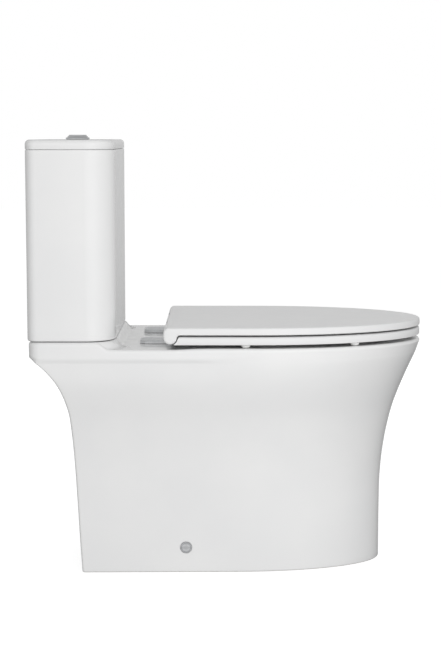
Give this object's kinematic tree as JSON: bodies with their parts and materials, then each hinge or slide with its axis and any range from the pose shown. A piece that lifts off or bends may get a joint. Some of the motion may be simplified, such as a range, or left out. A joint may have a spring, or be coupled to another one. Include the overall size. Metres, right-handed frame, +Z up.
{
  "type": "close coupled toilet",
  "caption": "Close coupled toilet: skirted pan with a flared rim, flat-sided cistern with a dual flush button, slim wrap-free seat and lid on top-fixed hinges.",
  "frame": {"origin": "on the floor, below the middle of the whole object's box", "axes": "+Z up, -Y towards the front tip of the pan and seat, +X to the right of someone who faces the toilet from its front"},
  "size_m": [0.365, 0.6834, 0.76],
  "materials": {
    "china": "white vitreous china under a clear gloss glaze",
    "seat_plastic": "white gloss moulded thermoset",
    "valve_plastic": "satin pale moulded plastic",
    "rubber": "soft pale rubber",
    "chrome": "bright chrome plate",
    "steel": "plain stainless steel"
  },
  "bodies": {
    "pan": {"pan": "china", "cistern": "china", "hinge_plate_left": "chrome", "hinge_plate_right": "chrome", "hinge_post_left": "chrome", "hinge_post_right": "chrome", "hinge_pin_left": "steel", "hinge_pin_right": "steel", "hinge_bolt_left": "chrome", "hinge_bolt_right": "chrome", "hinge_wing_nut_left": "valve_plastic", "hinge_wing_nut_right": "valve_plastic", "flush_valve_base": "valve_plastic", "flush_valve_nut": "valve_plastic", "flush_valve_washer": "rubber", "doughnut_gasket": "rubber", "fill_valve_body": "valve_plastic", "fill_valve_nut": "valve_plastic", "fill_valve_washer": "rubber", "coupling_bolt_left": "steel", "coupling_bolt_right": "steel", "coupling_washer_left": "rubber", "coupling_washer_right": "rubber", "coupling_wing_nut_left": "valve_plastic", "coupling_wing_nut_right": "valve_plastic", "floor_block_left": "valve_plastic", "floor_block_right": "valve_plastic", "side_screw_left": "steel", "side_screw_right": "steel", "fixing_cap_left": "chrome", "fixing_cap_right": "chrome"},
    "seat_ring": {"seat_ring": "seat_plastic", "ring_buffer_rear_left": "rubber", "ring_buffer_rear_right": "rubber", "ring_buffer_front_left": "rubber", "ring_buffer_front_right": "rubber"},
    "seat_lid": {"seat_lid": "seat_plastic", "lid_buffer_left": "rubber", "lid_buffer_right": "rubber"},
    "cistern_lid": {"cistern_lid": "china", "button_housing": "chrome", "button_lock_nut": "valve_plastic"},
    "full_flush_button": {"full_flush_button": "chrome"},
    "half_flush_button": {"half_flush_button": "chrome"},
    "flush_valve_tube": {"overflow_tube": "valve_plastic", "flush_seal": "rubber"},
    "fill_valve_float": {"fill_valve_float": "valve_plastic"}
  },
  "joints": [
    {"name": "seat_ring_hinge", "type": "hinge", "parent": "pan", "child": "seat_ring", "pos_m": [0, 0.09975, 0.4206], "axis": [1, 0, 0], "range_deg": [-97, 0]},
    {"name": "seat_lid_hinge", "type": "hinge", "parent": "seat_ring", "child": "seat_lid", "pos_m": [0, 0.09975, 0.4206], "axis": [-1, 0, 0], "range_deg": [0, 100]},
    {"name": "cistern_lid_lift", "type": "slide", "parent": "pan", "child": "cistern_lid", "axis": [0, 0, 1], "range_m": [0, 0.08]},
    {"name": "full_flush_press", "type": "slide", "parent": "cistern_lid", "child": "full_flush_button", "axis": [0, 0, -1], "range_m": [0, 0.006], "stiffness_N_per_m": 400, "springref_m": -0.004},
    {"name": "half_flush_press", "type": "slide", "parent": "cistern_lid", "child": "half_flush_button", "axis": [0, 0, -1], "range_m": [0, 0.006], "stiffness_N_per_m": 400, "springref_m": -0.004},
    {"name": "flush_valve_rise", "type": "slide", "parent": "pan", "child": "flush_valve_tube", "axis": [0, 0, 1], "range_m": [0, 0.012]},
    {"name": "float_rise", "type": "slide", "parent": "pan", "child": "fill_valve_float", "axis": [0, 0, 1], "range_m": [0, 0.06]}
  ],
  "couplings": [
    {"joint": "flush_valve_rise", "follows": "full_flush_press", "ratio": 2}
  ]
}
